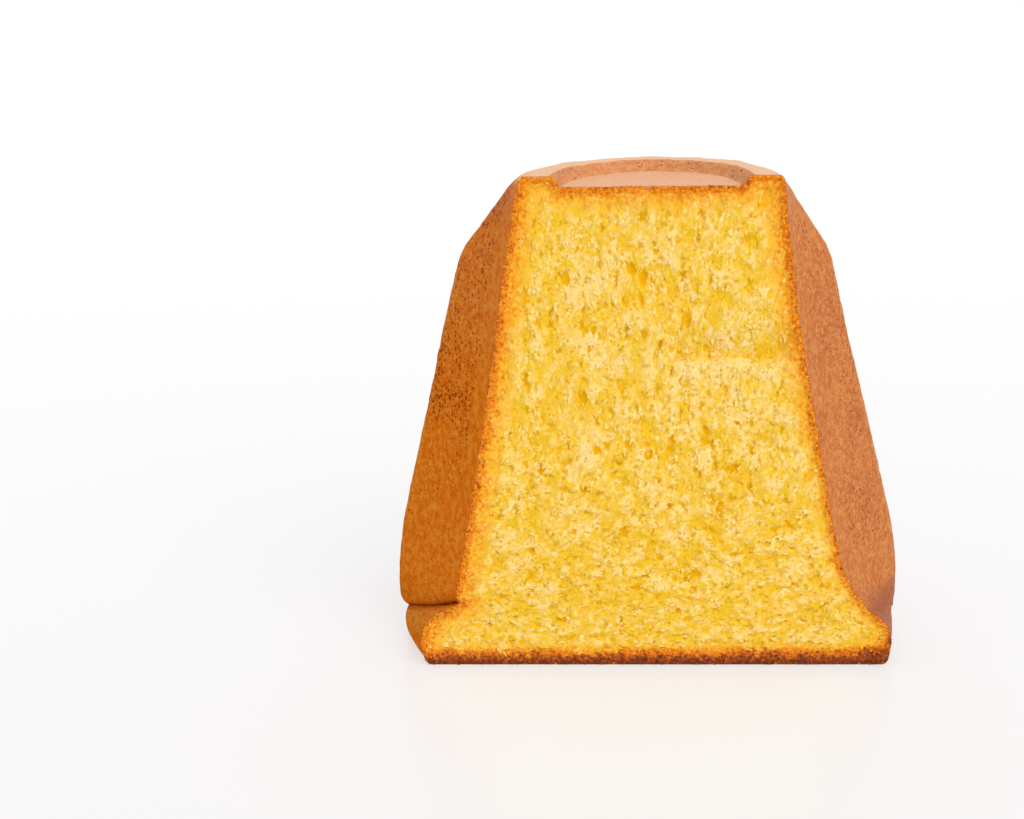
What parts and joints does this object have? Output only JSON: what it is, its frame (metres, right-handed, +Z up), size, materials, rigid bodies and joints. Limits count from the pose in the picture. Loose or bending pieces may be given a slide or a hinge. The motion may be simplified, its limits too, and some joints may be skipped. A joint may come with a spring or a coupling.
{
  "type": "sliced pandoro",
  "caption": "Half of a tall star-shaped sweet bread cut straight down the middle: torn golden crumb in front, browned fluted lobes behind, a shallow round recess in the top.",
  "frame": {"origin": "middle of the base's bounding box, on the surface that the half stands on", "axes": "+Z up from the wide base to the narrow top; the torn cut face looks towards -Y and the fluted crust towards +Y; +X runs along the cut, to the right as the cut face is seen"},
  "size_m": [0.2142, 0.1084, 0.2055],
  "materials": {
    "crust": "matte browned crust, finely pored",
    "crumb": "matte open crumb, torn, bright yellow"
  },
  "bodies": {
    "root": {"pandoro_half": "crust"}
  },
  "joints": []
}
